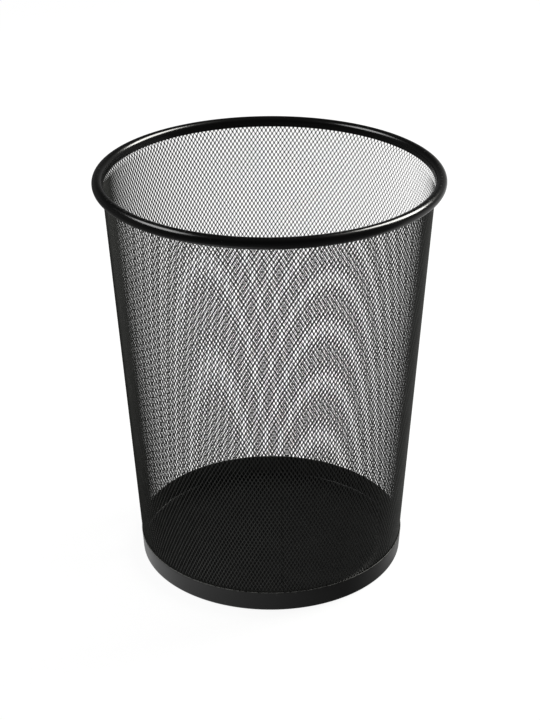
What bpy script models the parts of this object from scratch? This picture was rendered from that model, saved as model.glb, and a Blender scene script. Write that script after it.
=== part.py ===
"""Round wastebasket of black expanded-metal mesh, standing on Z = 0 with its axis on +Z.

The basket is three pressed or rolled steel pieces. A sheet of diamond mesh is rolled into a
slightly flared tube. A roll-formed rim grips its upper edge, and a drawn pan holds its lower edge.
"""
import math

import bmesh
import bpy

MM = 0.001

# Whole basket
HEIGHT = 350.0 * MM
TOP_DIAMETER = 288.4 * MM

# Rolled mesh wall: a straight-sided cone, wider at the top, with its upper edge turned out into the rim
WALL_RADIUS_AT_FLOOR = 113.58 * MM
WALL_FLARE = 0.0642
MESH_DEPTH = 1.0 * MM
WALL_BOTTOM = 2.6 * MM
WALL_TURN_BOTTOM = 337.0 * MM
WALL_TURN_TOP = 341.6 * MM
WALL_TOP = 345.6 * MM

# Strip steel of the rim and sheet steel of the pan
SHEET = 0.6 * MM
FIT_GAP = 0.3 * MM

# Rim: a round tube, open where the mesh enters it, with a short leg down the inside of the mesh
RIM_TUBE_RADIUS = 4.62 * MM
RIM_LEG_BOTTOM = 342.4 * MM
RIM_LIP_ANGLE = math.radians(-120.0)
RIM_ARC_STEPS = 20

# Pan: flared wall, rounded corner, flat ring to stand on, and a raised centre panel
PAN_WALL_HEIGHT = 18.6 * MM
PAN_CORNER_RADIUS = 2.2 * MM
PAN_CORNER_STEPS = 4
STANDING_RING_WIDTH = 12.0 * MM
PANEL_RISE = 1.5 * MM
PANEL_STEP_WIDTH = 8.0 * MM
PANEL_STEP_POINTS = 4

SEGMENTS_AROUND = 64
SHARP_ANGLE = math.radians(35.0)
MERGE_DISTANCE = 0.00001


def wall_outer_radius(z):
    """Outer radius of the cone of the mesh wall at a height."""
    return WALL_RADIUS_AT_FLOOR + WALL_FLARE * z


def rim_leg_radius():
    """Inner radius of the rim, which is the clear width of the basket's mouth."""
    return TOP_DIAMETER / 2 - 2 * RIM_TUBE_RADIUS


def clear_scene():
    """Remove every object the opened file holds."""
    for obj in list(bpy.data.objects):
        bpy.data.objects.remove(obj, do_unlink=True)


def make_collection(name):
    """A collection in the scene, for the basket's pieces."""
    collection = bpy.data.collections.new(name)
    bpy.context.scene.collection.children.link(collection)
    return collection


def make_metal_paint(name, color, roughness):
    """Painted steel: a dark lacquer over metal, so it is not metallic itself."""
    material = bpy.data.materials.new(name)
    material.use_nodes = True
    shader = material.node_tree.nodes["Principled BSDF"]
    shader.inputs["Base Color"].default_value = (*color, 1.0)
    shader.inputs["Roughness"].default_value = roughness
    shader.inputs["Metallic"].default_value = 0.0
    material.diffuse_color = (*color, 1.0)
    material.roughness = roughness
    return material


def arc(center, radius, start, end, steps):
    """Points on a circular arc in the XZ plane, both ends included."""
    points = []
    for i in range(steps + 1):
        angle = start + (end - start) * i / steps
        points.append((center[0] + radius * math.cos(angle), center[1] + radius * math.sin(angle)))
    return points


def profile_mesh(name, points, closed):
    """A chain of edges in the XZ plane through the given (x, z) points."""
    mesh = bpy.data.meshes.new(name)
    bm = bmesh.new()
    verts = [bm.verts.new((x, 0.0, z)) for x, z in points]
    for first, second in zip(verts, verts[1:]):
        bm.edges.new((first, second))
    if closed:
        bm.edges.new((verts[-1], verts[0]))
    bm.to_mesh(mesh)
    bm.free()
    return mesh


def add_turning(obj):
    """Turn the profile a full circle about Z."""
    screw = obj.modifiers.new("turn", "SCREW")
    screw.axis = "Z"
    screw.angle = math.tau
    screw.steps = SEGMENTS_AROUND
    screw.render_steps = SEGMENTS_AROUND
    screw.use_merge_vertices = True
    screw.merge_threshold = MERGE_DISTANCE


def add_sheet_thickness(obj):
    """Give a turned surface the thickness of the sheet, on the side away from its normals."""
    solidify = obj.modifiers.new("sheet", "SOLIDIFY")
    solidify.thickness = SHEET
    solidify.offset = -1.0
    solidify.use_even_offset = True
    solidify.use_rim = True


def apply_modifiers(obj):
    """Replace the profile by its turned mesh, shaded smooth between its sharp edges."""
    evaluated = obj.evaluated_get(bpy.context.evaluated_depsgraph_get())
    mesh = bpy.data.meshes.new_from_object(evaluated)
    mesh.name = obj.name
    mesh.shade_smooth()
    mesh.set_sharp_from_angle(angle=SHARP_ANGLE)
    obj.modifiers.clear()
    obj.data = mesh


def turned_piece(name, points, collection, material, closed=False):
    """A turned piece: a closed outline gives a solid, an open line gives a sheet."""
    obj = bpy.data.objects.new(name, profile_mesh(name, points, closed))
    collection.objects.link(obj)
    add_turning(obj)
    if not closed:
        add_sheet_thickness(obj)
    apply_modifiers(obj)
    obj.data.materials.clear()
    obj.data.materials.append(material)
    return obj


def mesh_wall_outline():
    """Section of the rolled mesh as one closed skin, from its outer top corner round to its inner one."""
    turned_radius = rim_leg_radius() + SHEET + FIT_GAP + MESH_DEPTH
    outside = [
        (turned_radius, WALL_TOP),
        (turned_radius, WALL_TURN_TOP),
        (wall_outer_radius(WALL_TURN_BOTTOM), WALL_TURN_BOTTOM),
        (wall_outer_radius(WALL_BOTTOM), WALL_BOTTOM),
    ]
    inside = [(radius - MESH_DEPTH, z) for radius, z in reversed(outside)]
    return outside + inside


def rim_line():
    """Outside line of the rim strip: up the leg, over the tube, under it to the lip."""
    center = (TOP_DIAMETER / 2 - RIM_TUBE_RADIUS, HEIGHT - RIM_TUBE_RADIUS)
    leg = [(rim_leg_radius(), RIM_LEG_BOTTOM)]
    return leg + arc(center, RIM_TUBE_RADIUS, math.pi, RIM_LIP_ANGLE, RIM_ARC_STEPS)


def pan_outer_radius(z):
    """Outer radius of the pan's wall, which lies outside the mesh and has the same flare."""
    return wall_outer_radius(z) + FIT_GAP + SHEET


def pan_line():
    """Underside line of the pan: down the wall, round the corner, and in to the axis."""
    corner_center = (pan_outer_radius(PAN_CORNER_RADIUS) - PAN_CORNER_RADIUS, PAN_CORNER_RADIUS)
    corner = arc(corner_center, PAN_CORNER_RADIUS, 0.0, -math.pi / 2, PAN_CORNER_STEPS)
    step_outer = corner_center[0] - STANDING_RING_WIDTH
    step = []
    for i in range(PANEL_STEP_POINTS + 1):
        share = i / PANEL_STEP_POINTS
        rise = PANEL_RISE * (1.0 - math.cos(math.pi * share)) / 2
        step.append((step_outer - PANEL_STEP_WIDTH * share, rise))
    wall_top = (pan_outer_radius(PAN_WALL_HEIGHT), PAN_WALL_HEIGHT)
    return [wall_top] + corner + step + [(0.0, PANEL_RISE)]


def main():
    clear_scene()
    basket = make_collection("wastebasket")
    rim_paint = make_metal_paint("gloss_black_paint", (0.012, 0.012, 0.013), 0.22)
    mesh_paint = make_metal_paint("mesh_black_paint", (0.014, 0.014, 0.014), 0.38)
    pan_paint = make_metal_paint("satin_black_paint", (0.020, 0.020, 0.019), 0.45)
    turned_piece("mesh_wall", mesh_wall_outline(), basket, mesh_paint, closed=True)
    turned_piece("top_rim", rim_line(), basket, rim_paint)
    turned_piece("base_pan", pan_line(), basket, pan_paint)


main()
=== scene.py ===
"""Round mesh wastebasket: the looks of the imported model, on a pale floor in soft studio light.

The three CAD solids give every place and size. Each one is replaced by the finished piece it stands
for: the expanded-metal wall strand by strand, the roll-formed rim and the drawn pan.
"""
import math

import bpy
import numpy as np
from mathutils import Matrix, Vector


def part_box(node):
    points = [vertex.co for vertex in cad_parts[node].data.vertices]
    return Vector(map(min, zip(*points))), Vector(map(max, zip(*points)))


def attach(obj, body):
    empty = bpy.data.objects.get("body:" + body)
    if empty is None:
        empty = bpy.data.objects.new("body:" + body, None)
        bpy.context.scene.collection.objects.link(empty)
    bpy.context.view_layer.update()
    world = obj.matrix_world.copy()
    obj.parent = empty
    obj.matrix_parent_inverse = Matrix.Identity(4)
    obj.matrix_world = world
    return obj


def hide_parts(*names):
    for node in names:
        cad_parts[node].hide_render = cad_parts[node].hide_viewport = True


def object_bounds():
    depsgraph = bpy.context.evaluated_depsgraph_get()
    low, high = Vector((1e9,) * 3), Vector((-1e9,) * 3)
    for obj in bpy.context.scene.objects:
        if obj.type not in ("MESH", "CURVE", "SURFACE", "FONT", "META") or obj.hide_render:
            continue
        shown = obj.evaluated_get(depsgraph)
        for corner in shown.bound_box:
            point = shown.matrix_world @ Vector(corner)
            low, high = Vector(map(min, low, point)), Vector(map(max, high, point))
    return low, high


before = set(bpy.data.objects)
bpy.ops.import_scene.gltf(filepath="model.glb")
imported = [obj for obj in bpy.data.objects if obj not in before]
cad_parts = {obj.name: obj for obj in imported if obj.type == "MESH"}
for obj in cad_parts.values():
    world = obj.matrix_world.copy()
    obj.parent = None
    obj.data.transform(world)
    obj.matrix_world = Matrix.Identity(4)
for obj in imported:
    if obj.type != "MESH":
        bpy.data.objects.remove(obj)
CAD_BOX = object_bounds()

MM = 0.001

# Sizes read from the frame
WALL_LOW, WALL_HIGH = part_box("mesh_wall")
RIM_LOW, RIM_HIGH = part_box("top_rim")
PAN_LOW, PAN_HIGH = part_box("base_pan")

# Sheet steel, as in the solids
SHEET = 0.6 * MM
SOLID_GAP = 0.3 * MM

# Rolled mesh wall: a cone, with its upper edge turned out into the rim
WALL_FLARE = 0.0642
WALL_TURN_BOTTOM = 337.0 * MM
WALL_TURN_TOP = 341.6 * MM

# Expanded metal: a fixed number of cells round the basket, and strands that stay nearly one length
CELLS_AROUND = 229
STRAND_LENGTH = 3.3672 * MM
STRAND_LENGTH_FALL = 0.000205
MIDDLE_HEIGHT = 175.0 * MM
STRAND_WIDTH = 0.71 * MM
STRAND_THICKNESS = 0.22 * MM
STRAND_TILT = math.radians(23.5)
BOND_LENGTH = 1.1 * MM

# The sheet was rolled up a little out of square: its columns lean, and its rows climb round the basket
COLUMN_LEAN_PER_METER = 2.691
COLUMN_SPREAD = 0.081
COLUMN_PHASE = -0.0177
ROW_CLIMB = 0.743
ROW_PHASE = 1.383
ROW_COUNT_START = -20.0 * MM

# The sheet's ends lap at the left side of the basket
SEAM_ANGLE = math.radians(183.2)
LAP_CELLS = 3
LAP_RISE = 0.5 * MM
LAP_RAMP_CELLS = 3.0
LAP_PINCH_LENGTH = 12.0 * MM
LAP_PINCHED_SHARE = 0.15
SECTORS = 8

# Rim tube and its lip
RIM_TUBE_RADIUS = (RIM_HIGH.z - RIM_LOW.z) / 2
RIM_LEG_BOTTOM = 342.4 * MM
RIM_LIP_ANGLE = math.radians(-124.0)

# Drawn pan
PAN_CORNER_RADIUS = 2.2 * MM
STANDING_RING_WIDTH = 12.0 * MM
PANEL_RISE = 1.5 * MM
PANEL_STEP_WIDTH = 8.0 * MM

SEGMENTS_AROUND = 256

# Powder coat: noise scales in cycles per metre, and how far gloss, scuffs and the pan's painted edge
# highlight change along the surface
GLOSS_PATCH_SCALE = 38.0
GLOSS_SPREAD = 0.15
SCUFF_SCALE = 420.0
SCUFF_START = 0.70
SCUFF_FULL = 0.80
WORN_EXTRA_ROUGHNESS = 0.25
PEEL_STRENGTH = 0.5
LIGHT_WEAR = 0.14
# Strength of the pale line painted along the pan's top edge as its highlight
PAN_EDGE_HIGHLIGHT = 0.32

# Floor and room, as the camera and rough surfaces see them
FLOOR_HALF_WIDTH = 12.0
FLOOR_COLOR = (0.07, 0.07, 0.07)
FLOOR_ROUGHNESS = 0.9
FLOOR_GLOW = 0.92
ROOM_DIFFUSE = 0.5

# Camera
CAMERA_DISTANCE = 1.4944
CAMERA_ELEVATION = math.radians(26.70)
CAMERA_AIM = (-0.0003, 0.0, 0.1790)
CAMERA_LENS = 116.26
CAMERA_ROLL = math.radians(-0.331)


def smooth_step(t):
    """0 below 0, 1 above 1, and a smooth rise between."""
    t = np.clip(t, 0.0, 1.0)
    return t * t * (3.0 - 2.0 * t)


def cone_radius(z):
    """Outer radius of the wall's cone at a height."""
    return PAN_HIGH.x - SHEET - SOLID_GAP + WALL_FLARE * (z - PAN_HIGH.z)


def wall_outer_radius(z):
    """Outer radius of the mesh wall at a height, with its edge turned out into the rim."""
    turn = smooth_step((z - WALL_TURN_BOTTOM) / (WALL_TURN_TOP - WALL_TURN_BOTTOM))
    return (1.0 - turn) * cone_radius(z) + turn * WALL_HIGH.x


# ---------------------------------------------------------------- mesh wall


def row_count_table():
    """How many rows of bonds, half a diamond apart, lie below each height. Where the wall is wider the
    diamonds are shorter, because stretching the sheet leaves its strands as long as they were."""
    heights = np.linspace(ROW_COUNT_START, 1.1 * WALL_HIGH.z, 8001)
    strand = STRAND_LENGTH - STRAND_LENGTH_FALL * (heights - MIDDLE_HEIGHT)
    half_width = math.pi * cone_radius(heights) / CELLS_AROUND
    rows_per_meter = 1.0 / np.sqrt(strand ** 2 - half_width ** 2)
    steps = (rows_per_meter[1:] + rows_per_meter[:-1]) / 2 * np.diff(heights)
    return heights, np.concatenate([[0.0], np.cumsum(steps)])


def bond_grid():
    """Column, angle and height of every bond of the sheet, as arrays with one line for each row of bonds.
    Odd rows lie half a cell further round."""
    heights, counts = row_count_table()
    row = np.arange(int(counts[-1]) + 3)[:, None]
    column = np.arange(CELLS_AROUND + LAP_CELLS + 1)[None, :] + (row % 2) / 2.0
    first = math.floor(CELLS_AROUND * (SEAM_ANGLE / math.tau - 1.0)) + 0.5
    angle = (first + column) * math.tau / CELLS_AROUND
    for _ in range(4):
        half_turns = (angle + math.pi / 2) / math.pi
        z = np.interp(row - ROW_PHASE + ROW_CLIMB * half_turns, counts, heights)
        shift = COLUMN_LEAN_PER_METER * (z - MIDDLE_HEIGHT) + COLUMN_SPREAD * half_turns + COLUMN_PHASE
        angle = (first + column - shift) * math.tau / CELLS_AROUND
    return column, angle, z


def lap_offset(column, z):
    """How far the sheet's outer end stands out where it lies over its inner end. It is pinched flat at the
    rim and in the pan."""
    rise = smooth_step((column - (CELLS_AROUND - LAP_RAMP_CELLS)) / LAP_RAMP_CELLS)
    free = smooth_step((z - PAN_HIGH.z) / LAP_PINCH_LENGTH) * smooth_step((RIM_LOW.z - z) / LAP_PINCH_LENGTH)
    return LAP_RISE * rise * (LAP_PINCHED_SHARE + (1.0 - LAP_PINCHED_SHARE) * free)


def sheet_vertices(column, angle, z):
    """Six mid-surface vertices for every bond: left edge, middle and right edge at its lower end, then the
    same at its upper end. Returns positions and thickness directions, shaped (rows, columns, 6, 3)."""
    depth = STRAND_WIDTH * math.sin(STRAND_TILT) + STRAND_THICKNESS * math.cos(STRAND_TILT) / 2
    outward = np.stack([np.cos(angle), np.sin(angle), 0 * angle], -1)
    sideways = np.stack([-np.sin(angle), np.cos(angle), 0 * angle], -1)
    plate = math.cos(STRAND_TILT) * sideways + math.sin(STRAND_TILT) * outward
    normal = math.cos(STRAND_TILT) * outward - math.sin(STRAND_TILT) * sideways
    positions = []
    for level in (-0.5, 0.5):
        level_z = z + level * BOND_LENGTH
        radius = wall_outer_radius(level_z) - depth + lap_offset(column, level_z)
        middle = radius[..., None] * outward
        middle[..., 2] = level_z
        for side in (-1.0, 0.0, 1.0):
            positions.append(middle + side * STRAND_WIDTH * plate)
    return np.stack(positions, 2), np.repeat(normal[:, :, None, :], 6, axis=2)


def sheet_quads(inside, column):
    """Quads of the mid-surface between the bonds that lie inside the wall, and the column of each quad:
    two for a bond, and one for each of the two strands that leave it upwards."""
    rows, columns = inside.shape
    base = 6 * np.arange(rows * columns).reshape(rows, columns)
    quads = []
    owners = []

    def add(corners, chosen, owner):
        quads.append(np.stack(corners, -1)[chosen])
        owners.append(owner[chosen])

    add([base, base + 1, base + 4, base + 3], inside, column)
    add([base + 1, base + 2, base + 5, base + 4], inside, column)
    for k in range(rows - 1):
        left_shift = k % 2 - 1
        for side in (0, 1):
            low = np.arange(columns)
            high = low + left_shift + side
            kept = (high >= 0) & (high < columns)
            low = low[kept]
            high = high[kept]
            chosen = inside[k, low] & inside[k + 1, high]
            below = base[k, low]
            above = base[k + 1, high]
            if side == 0:
                corners = [below + 3, below + 4, above + 2, above + 1]
            else:
                corners = [below + 4, below + 5, above + 1, above]
            add(corners, chosen, column[k, low])
    return np.concatenate(quads), np.concatenate(owners)


def thicken(vertices, normals, quads, thickness):
    """A closed solid from mid-surface quads: an outer skin, an inner skin, and walls on every open edge."""
    used, quads = np.unique(quads, return_inverse=True)
    quads = quads.reshape(-1, 4)
    vertices = vertices[used]
    normals = normals[used]
    count = len(vertices)
    edges = np.concatenate([quads[:, [i, (i + 1) % 4]] for i in range(4)])
    keys = np.sort(edges, axis=1)
    keys = keys[:, 0].astype(np.int64) * count + keys[:, 1]
    _, first, uses = np.unique(keys, return_index=True, return_counts=True)
    border = edges[first[uses == 1]]
    outer = vertices + normals * (thickness / 2)
    inner = vertices - normals * (thickness / 2)
    skin = np.concatenate([outer, inner])
    walls = np.stack([border[:, 1], border[:, 0], border[:, 0] + count, border[:, 1] + count], -1)
    faces = np.concatenate([quads, quads[:, ::-1] + count, walls])
    return skin, faces


def mesh_object(name, vertices, quads, caps=()):
    """A mesh object made of quads held in an array, and of a few larger polygons."""
    corners = np.concatenate([quads.ravel(), *caps]).astype(np.int32)
    sizes = np.array([4] * len(quads) + [len(cap) for cap in caps])
    mesh = bpy.data.meshes.new(name)
    mesh.vertices.add(len(vertices))
    mesh.vertices.foreach_set("co", vertices.astype(np.float32).ravel())
    mesh.loops.add(len(corners))
    mesh.loops.foreach_set("vertex_index", corners)
    mesh.polygons.add(len(sizes))
    mesh.polygons.foreach_set("loop_start", (np.cumsum(sizes) - sizes).astype(np.int32))
    mesh.update(calc_edges=True)
    mesh.validate()
    mesh.shade_smooth()
    obj = bpy.data.objects.new(name, mesh)
    bpy.context.scene.collection.objects.link(obj)
    return obj


def make_mesh_wall(material):
    """The expanded-metal wall, cut into sectors so that no piece is too heavy."""
    column, angle, z = bond_grid()
    positions, normals = sheet_vertices(column, angle, z)
    inside = (z > WALL_LOW.z + BOND_LENGTH / 2) & (z < WALL_HIGH.z - BOND_LENGTH / 2)
    quads, owners = sheet_quads(inside, column)
    sector_of = np.minimum((owners / (CELLS_AROUND + LAP_CELLS) * SECTORS).astype(int), SECTORS - 1)
    for sector in range(SECTORS):
        own_quads = quads[sector_of == sector]
        skin, faces = thicken(positions.reshape(-1, 3), normals.reshape(-1, 3), own_quads, STRAND_THICKNESS)
        piece = mesh_object(f"mesh_wall_sector_{sector + 1}", skin, faces)
        piece.data.materials.append(material)
        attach(piece, "root")
        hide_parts("mesh_wall")


# ---------------------------------------------------------------- rim and pan


def arc(center, radius, start, end, steps):
    """Points on a circular arc in the XZ plane, both ends included."""
    points = []
    for i in range(steps + 1):
        angle = start + (end - start) * i / steps
        points.append((center[0] + radius * math.cos(angle), center[1] + radius * math.sin(angle)))
    return points


def nose(outside, inside, forward):
    """Points round the rounded edge of a sheet, from its outside corner to its inside one."""
    middle = (outside + inside) / 2
    side = outside - middle
    reach = forward * np.linalg.norm(side)
    turns = [math.pi * i / 6 for i in range(1, 6)]
    return [middle + side * math.cos(turn) + reach * math.sin(turn) for turn in turns]


def sheet_section(line, thickness, ends_at_axis=False):
    """Section of a bent sheet, from its outside line round to its inside one. Both edges are rounded, unless
    the line ends at the axis."""
    line = np.array(line)
    along = np.gradient(line, axis=0)
    along /= np.linalg.norm(along, axis=1)[:, None]
    inside = line + np.stack([along[:, 1], -along[:, 0]], -1) * thickness
    far_edge = [] if ends_at_axis else nose(line[-1], inside[-1], along[-1])
    near_edge = nose(inside[0], line[0], -along[0])
    return np.array([*line, *far_edge, *inside[::-1], *near_edge])


def turned_object(name, section, material, node, axis_point=None):
    """A full turn of a section. Where it ends at the axis, the edge after axis_point is left out, and a flat
    cap closes either side of it."""
    count = len(section)
    angle = np.arange(SEGMENTS_AROUND) * math.tau / SEGMENTS_AROUND
    ring = np.stack([
        section[None, :, 0] * np.cos(angle)[:, None],
        section[None, :, 0] * np.sin(angle)[:, None],
        np.repeat(section[None, :, 1], SEGMENTS_AROUND, axis=0),
    ], -1).reshape(-1, 3)
    points = np.array([i for i in range(count) if i != axis_point])
    step = count * np.arange(SEGMENTS_AROUND)[:, None]
    next_step = np.roll(step, -1, axis=0)
    after = (points + 1) % count
    quads = np.stack([step + points, step + after, next_step + after, next_step + points], -1).reshape(-1, 4)
    caps = []
    if axis_point is not None:
        caps = [step[::-1, 0] + axis_point, step[:, 0] + axis_point + 1]
    piece = mesh_object(name, ring, quads, caps)
    piece.data.materials.append(material)
    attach(piece, "root")
    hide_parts(node)


def make_rim(material):
    """The roll-formed rim: a leg inside the mesh, the tube, and a lip that presses on it from outside."""
    center = (RIM_HIGH.x - RIM_TUBE_RADIUS, RIM_HIGH.z - RIM_TUBE_RADIUS)
    leg_radius = center[0] - RIM_TUBE_RADIUS
    leg = [(leg_radius, RIM_LEG_BOTTOM + (center[1] - RIM_LEG_BOTTOM) * i / 4) for i in range(4)]
    line = leg + arc(center, RIM_TUBE_RADIUS, math.pi, RIM_LIP_ANGLE, 60)
    turned_object("top_rim_tube", sheet_section(line, SHEET), material, "top_rim")


def make_pan(material):
    """The drawn pan: flared wall, rounded corner, standing ring and raised centre panel."""
    def outer_radius(z):
        return cone_radius(z) + SOLID_GAP + SHEET

    wall = [(outer_radius(z), z) for z in np.linspace(PAN_HIGH.z - SHEET / 2, PAN_CORNER_RADIUS, 8)[:-1]]
    center = (outer_radius(PAN_CORNER_RADIUS) - PAN_CORNER_RADIUS, PAN_CORNER_RADIUS)
    corner = arc(center, PAN_CORNER_RADIUS, 0.0, -math.pi / 2, 10)
    step_outer = center[0] - STANDING_RING_WIDTH
    ring = [(center[0] - STANDING_RING_WIDTH * i / 4, 0.0) for i in range(1, 4)]
    step = []
    for i in range(13):
        share = i / 12
        rise = PANEL_RISE * (1.0 - math.cos(math.pi * share)) / 2
        step.append((step_outer - PANEL_STEP_WIDTH * share, rise))
    panel = [(step[-1][0] * (1 - i / 12), PANEL_RISE) for i in range(1, 12)]
    line = wall + corner + ring + step + panel
    section = sheet_section(line, SHEET, ends_at_axis=True)
    turned_object("base_pan_sheet", section, material, "base_pan", axis_point=len(line) - 1)


# ---------------------------------------------------------------- materials


def new_material(name):
    """A material with an empty Principled shader, and its node tree."""
    material = bpy.data.materials.new(name)
    material.use_nodes = True
    tree = material.node_tree
    return material, tree, tree.nodes["Principled BSDF"]


def add_noise(tree, coordinates, scale, detail):
    """Noise in object coordinates, with its scale in cycles per metre."""
    noise = tree.nodes.new("ShaderNodeTexNoise")
    noise.inputs["Scale"].default_value = scale
    noise.inputs["Detail"].default_value = detail
    tree.links.new(coordinates.outputs["Object"], noise.inputs["Vector"])
    return noise.outputs["Fac"]


def add_range(tree, source, source_range, result_range):
    """The source, mapped from one range to another and held at its ends."""
    node = tree.nodes.new("ShaderNodeMapRange")
    node.inputs["From Min"].default_value, node.inputs["From Max"].default_value = source_range
    node.inputs["To Min"].default_value, node.inputs["To Max"].default_value = result_range
    tree.links.new(source, node.inputs["Value"])
    return node.outputs["Result"]


def add_sum(tree, first, second, operation="ADD"):
    """The sum, or another operation, of two sockets."""
    node = tree.nodes.new("ShaderNodeMath")
    node.operation = operation
    tree.links.new(first, node.inputs[0])
    tree.links.new(second, node.inputs[1])
    return node.outputs["Value"]


def powder_coat(name, color, wear_and_highlight_color, roughness, wear_and_highlight_height, wear_and_highlight_amount, peel_scale, peel_height):
    """Black powder coat: patchy gloss, fine orange peel, and a lighter colour near one height: scuffed paint
    on the rim and mesh, a painted highlight on the pan's top edge.
    """
    material, tree, shader = new_material(name)
    shader.inputs["Metallic"].default_value = 0.0
    coordinates = tree.nodes.new("ShaderNodeTexCoord")
    height = tree.nodes.new("ShaderNodeSeparateXYZ")
    tree.links.new(coordinates.outputs["Object"], height.inputs["Vector"])
    # Mask of the lighter colour, by height and scuff noise: scuffed paint, and on the pan a painted
    # highlight
    near = add_range(tree, height.outputs["Z"], wear_and_highlight_height, (0.0, wear_and_highlight_amount))
    scuffs = add_sum(tree, near, add_noise(tree, coordinates, SCUFF_SCALE, 6.0))
    wear_and_highlight_mask = add_range(tree, scuffs, (SCUFF_START, SCUFF_FULL), (0.0, 1.0))

    blend = tree.nodes.new("ShaderNodeMix")
    blend.data_type = "RGBA"
    blend.inputs["A"].default_value = (*color, 1.0)
    blend.inputs["B"].default_value = (*wear_and_highlight_color, 1.0)
    tree.links.new(wear_and_highlight_mask, blend.inputs["Factor"])
    tree.links.new(blend.outputs["Result"], shader.inputs["Base Color"])

    gloss_noise = add_noise(tree, coordinates, GLOSS_PATCH_SCALE, 5.0)
    glossy = (1.0 - GLOSS_SPREAD) * roughness
    dull = (1.0 + GLOSS_SPREAD) * roughness
    patches = add_range(tree, gloss_noise, (0.3, 0.7), (glossy, dull))
    extra = add_range(tree, wear_and_highlight_mask, (0.0, 1.0), (0.0, WORN_EXTRA_ROUGHNESS))
    tree.links.new(add_sum(tree, patches, extra), shader.inputs["Roughness"])

    bump = tree.nodes.new("ShaderNodeBump")
    bump.inputs["Strength"].default_value = PEEL_STRENGTH
    bump.inputs["Distance"].default_value = peel_height
    tree.links.new(add_noise(tree, coordinates, peel_scale, 3.0), bump.inputs["Height"])
    tree.links.new(bump.outputs["Normal"], shader.inputs["Normal"])
    return material


# ---------------------------------------------------------------- studio


def add_switch(tree, choice, otherwise, chosen):
    """One of two values, each a socket or a number, by a socket that is 0 or 1."""
    node = tree.nodes.new("ShaderNodeMix")
    node.data_type = "FLOAT"
    tree.links.new(choice, node.inputs["Factor"])
    for name, value in (("A", otherwise), ("B", chosen)):
        if isinstance(value, float):
            node.inputs[name].default_value = value
        else:
            tree.links.new(value, node.inputs[name])
    return node.outputs["Result"]


def make_floor():
    """A pale floor, lit so evenly that it glows, with only a faint shadow under the basket. In the basket's
    reflections it glows only in painted pools of light: at its left, behind it at its right, and dark
    towards the camera."""
    low = -FLOOR_HALF_WIDTH
    high = FLOOR_HALF_WIDTH
    mesh = bpy.data.meshes.new("floor")
    mesh.from_pydata([(low, low, 0), (high, low, 0), (high, high, 0), (low, high, 0)], [], [(0, 1, 2, 3)])
    floor = bpy.data.objects.new("floor", mesh)
    bpy.context.scene.collection.objects.link(floor)
    material, tree, shader = new_material("floor_white")
    shader.inputs["Base Color"].default_value = (*FLOOR_COLOR, 1.0)
    shader.inputs["Roughness"].default_value = FLOOR_ROUGHNESS
    shader.inputs["Specular IOR Level"].default_value = 0.0
    shader.inputs["Emission Color"].default_value = (1.0, 1.0, 1.0, 1.0)
    rays = tree.nodes.new("ShaderNodeLightPath")
    coordinates = tree.nodes.new("ShaderNodeTexCoord")
    place = tree.nodes.new("ShaderNodeSeparateXYZ")
    tree.links.new(coordinates.outputs["Object"], place.inputs["Vector"])
    # Painted pools of glow, seen only in the basket's reflections: at the left, and behind the basket at its
    # right
    left_edge = add_range(tree, place.outputs["X"], (-0.32, -0.12), (0.05, 1.0))
    across = add_range(tree, place.outputs["X"], (-0.09, 0.07), (0.95, 0.08))
    along = add_range(tree, place.outputs["Y"], (-0.45, -0.15), (0.05, 1.0))
    painted_left_glow = add_sum(tree, add_sum(tree, left_edge, across, "MULTIPLY"), along, "MULTIPLY")
    right_side = add_range(tree, place.outputs["X"], (0.02, 0.09), (0.0, 1.0))
    right_back = add_range(tree, place.outputs["Y"], (-0.10, -0.03), (0.0, 0.5))
    painted_reflection_glow = add_sum(tree, painted_left_glow, add_sum(tree, right_side, right_back, "MULTIPLY"))
    glow = add_switch(tree, rays.outputs["Is Glossy Ray"], FLOOR_GLOW, painted_reflection_glow)
    tree.links.new(glow, shader.inputs["Emission Strength"])
    mesh.materials.append(material)


def make_world():
    """White for the camera. In the basket's reflections, a room that is dark on the camera's side and
    overhead, and lighter behind the basket, most of all at the right."""
    world = bpy.data.worlds.new("studio")
    bpy.context.scene.world = world
    world.use_nodes = True
    tree = world.node_tree
    background = tree.nodes["Background"]
    rays = tree.nodes.new("ShaderNodeLightPath")
    coordinates = tree.nodes.new("ShaderNodeTexCoord")
    direction = tree.nodes.new("ShaderNodeSeparateXYZ")
    tree.links.new(coordinates.outputs["Generated"], direction.inputs["Vector"])
    behind = add_range(tree, direction.outputs["Y"], (-0.50, 0.05), (0.07, 0.34))
    right = add_range(tree, direction.outputs["X"], (-0.25, 0.15), (0.45, 1.0))
    above = add_range(tree, direction.outputs["Z"], (0.10, 0.45), (1.0, 0.12))
    room = add_sum(tree, add_sum(tree, behind, right, "MULTIPLY"), above, "MULTIPLY")
    seen = add_switch(tree, rays.outputs["Is Glossy Ray"], ROOM_DIFFUSE, room)
    tree.links.new(add_switch(tree, rays.outputs["Is Camera Ray"], seen, 1.0), background.inputs["Strength"])
    background.inputs["Color"].default_value = (1.0, 1.0, 1.0, 1.0)
    world.cycles.sampling_method = "NONE"


def aim(obj, location, target, roll):
    """Place an object, and turn its -Z axis to a target."""
    direction = Vector(target) - Vector(location)
    turn = direction.to_track_quat("-Z", "Y").to_matrix().to_4x4()
    obj.matrix_world = Matrix.Translation(location) @ turn @ Matrix.Rotation(roll, 4, "Z")


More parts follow.
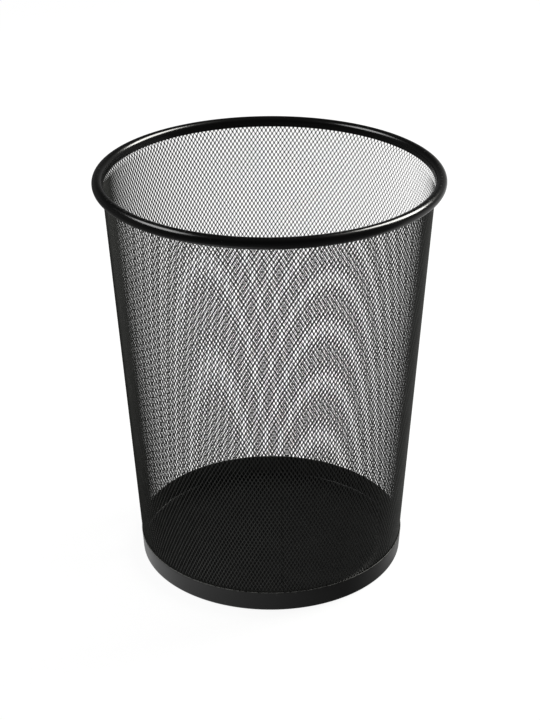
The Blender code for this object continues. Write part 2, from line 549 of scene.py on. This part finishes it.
def add_softbox(name, azimuth, elevation, distance, size, radiance, color):
    """A soft light at a direction from the rim, of a given brightness as seen in reflections."""
    light = bpy.data.lights.new(name, "AREA")
    light.shape = "ELLIPSE"
    light.size, light.size_y = size
    light.energy = radiance * math.pi * size[0] * size[1]
    light.color = color
    obj = bpy.data.objects.new(name, light)
    bpy.context.scene.collection.objects.link(obj)
    azimuth = math.radians(azimuth)
    elevation = math.radians(elevation)
    toward = Vector((math.cos(elevation) * math.cos(azimuth), math.cos(elevation) * math.sin(azimuth),
                     math.sin(elevation)))
    target = Vector((0.0, 0.0, RIM_HIGH.z))
    aim(obj, target + distance * toward, target, 0.0)
    obj.visible_camera = False


def make_camera():
    """The camera at the photograph's angle, with no depth of field."""
    data = bpy.data.cameras.new("camera")
    data.sensor_fit = "HORIZONTAL"
    data.sensor_width = 36.0
    data.lens = CAMERA_LENS
    camera = bpy.data.objects.new("camera", data)
    bpy.context.scene.collection.objects.link(camera)
    location = (0.0, -CAMERA_DISTANCE * math.cos(CAMERA_ELEVATION),
                CAD_BOX[1][2] / 2 + CAMERA_DISTANCE * math.sin(CAMERA_ELEVATION))
    aim(camera, location, CAMERA_AIM, CAMERA_ROLL)
    bpy.context.scene.camera = camera


make_camera()
rim_paint = powder_coat(
    "rim_gloss_black", color=(0.0045, 0.0045, 0.0045), wear_and_highlight_color=(0.020, 0.020, 0.019), roughness=0.21,
    wear_and_highlight_height=(RIM_HIGH.z - 0.5 * MM, RIM_HIGH.z), wear_and_highlight_amount=LIGHT_WEAR, peel_scale=1100.0,
    peel_height=0.02 * MM)
mesh_paint = powder_coat(
    "mesh_black", color=(0.022, 0.023, 0.021), wear_and_highlight_color=(0.050, 0.050, 0.046), roughness=0.54,
    wear_and_highlight_height=(12.0 * MM, 4.0 * MM), wear_and_highlight_amount=LIGHT_WEAR, peel_scale=1600.0,
    peel_height=0.02 * MM)
# The pale band along the pan's top edge is a painted highlight, broken up by the scuff noise
pan_paint = powder_coat(
    "pan_satin_black", color=(0.006, 0.006, 0.006), wear_and_highlight_color=(0.110, 0.110, 0.105), roughness=0.34,
    wear_and_highlight_height=(PAN_HIGH.z - 0.6 * MM, PAN_HIGH.z - 0.2 * MM), wear_and_highlight_amount=PAN_EDGE_HIGHLIGHT, peel_scale=1100.0,
    peel_height=0.03 * MM)
make_mesh_wall(mesh_paint)
make_rim(rim_paint)
make_pan(pan_paint)
make_floor()
make_world()
add_softbox("key_right", azimuth=30.0, elevation=44.0, distance=2.0, size=(1.0, 1.3), radiance=17.0,
            color=(1.0, 0.995, 0.95))
add_softbox("fill_left", azimuth=176.0, elevation=47.0, distance=2.0, size=(1.4, 0.9), radiance=6.6,
            color=(1.0, 1.0, 1.0))
bpy.context.scene.view_settings.view_transform = "Standard"
bpy.context.scene.view_settings.gamma = 0.85
